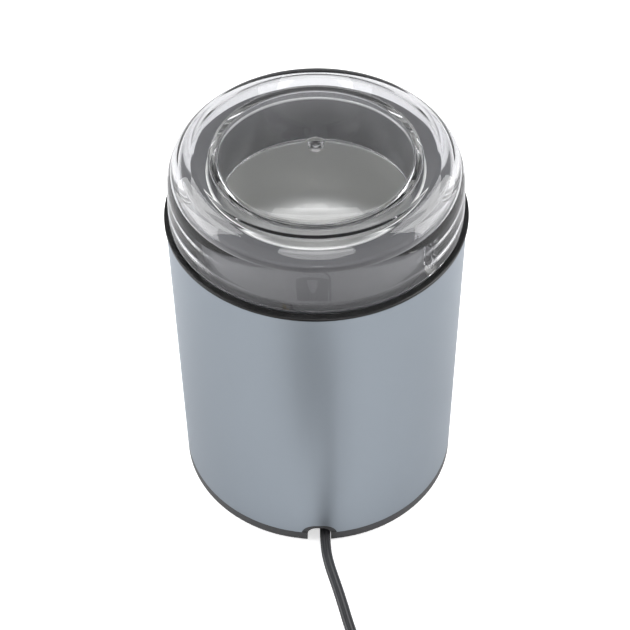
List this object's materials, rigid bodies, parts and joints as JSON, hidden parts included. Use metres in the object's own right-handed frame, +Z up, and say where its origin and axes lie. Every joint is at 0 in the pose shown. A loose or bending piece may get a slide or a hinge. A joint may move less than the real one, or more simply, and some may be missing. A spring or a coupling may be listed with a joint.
{
  "type": "electric spice grinder",
  "caption": "Cylindrical electric spice grinder: metal-sleeved motor base, steel bowl with a two-wing blade, clear press-down lid and mains cord.",
  "frame": {"origin": "centre of the footprint on the worktop", "axes": "+Z up along the motor shaft, the cord leaves at -Y, +X to the right seen from the cord side"},
  "size_m": [0.1173, 0.2234, 0.1418],
  "materials": {
    "sleeve_metal": "fine satin metallic",
    "housing_plastic": "satin moulded",
    "base_plastic": "fine moulded grain",
    "clear_plastic": "clear polished",
    "bowl_steel": "spun stainless",
    "blade_steel": "ground stainless",
    "machine_steel": "zinc plated",
    "lamination_steel": "stacked laminations",
    "copper": "enamelled winding",
    "bronze": "sintered bronze",
    "brass": "stamped",
    "carbon": "pressed carbon",
    "moulded_white": "moulded nylon",
    "moulded_black": "moulded",
    "rubber": "moulded rubber",
    "spring_steel": "spring wire",
    "capacitor_yellow": "epoxy case",
    "cord_black": "flexible insulation",
    "lead_insulation": "insulated lead"
  },
  "bodies": {
    "housing": {"metal_sleeve": "sleeve_metal", "inner_housing": "housing_plastic", "base_plate": "base_plastic", "rubber_feet": "rubber", "base_screws": "machine_steel", "grinding_bowl": "bowl_steel", "shaft_seal": "rubber", "plunger_spring": "spring_steel", "switch_holder": "moulded_black", "snap_switch": "moulded_black", "stator": "lamination_steel", "field_coils": "copper", "upper_bracket": "machine_steel", "lower_bracket": "machine_steel", "upper_bearing": "bronze", "lower_bearing": "bronze", "tie_screws": "machine_steel", "brush_holders": "moulded_white", "carbon_brushes": "carbon", "brush_springs": "spring_steel", "motor_mounts": "rubber", "mount_screws": "machine_steel", "suppressor_capacitor": "capacitor_yellow", "terminal_block": "moulded_white", "cord_clamp": "moulded_black", "internal_leads": "lead_insulation", "cord": "cord_black", "cord_coil": "cord_black", "plug_body": "cord_black", "plug_pins": "brass"},
    "rotor": {"motor_shaft": "machine_steel", "rotor_core": "lamination_steel", "rotor_winding": "copper", "commutator": "brass", "cooling_fan": "moulded_black", "drive_hub": "moulded_black", "blade": "blade_steel", "blade_nut": "machine_steel"},
    "plunger": {"switch_plunger": "moulded_white", "switch_button": "moulded_white"},
    "lid": {"lid": "clear_plastic"}
  },
  "joints": [
    {"name": "rotor_spin", "type": "hinge", "parent": "housing", "child": "rotor", "pos_m": [0, 0, 0.05], "axis": [0, 0, 1], "continuous": true},
    {"name": "lid_press", "type": "slide", "parent": "housing", "child": "plunger", "axis": [0, 0, 1], "range_m": [-0.001, 0], "stiffness_N_per_m": 800, "springref_m": 0.003, "deforming": ["plunger_spring"]},
    {"name": "lid_lift", "type": "slide", "parent": "plunger", "child": "lid", "axis": [0, 0, 1], "range_m": [0, 0.09]}
  ]
}
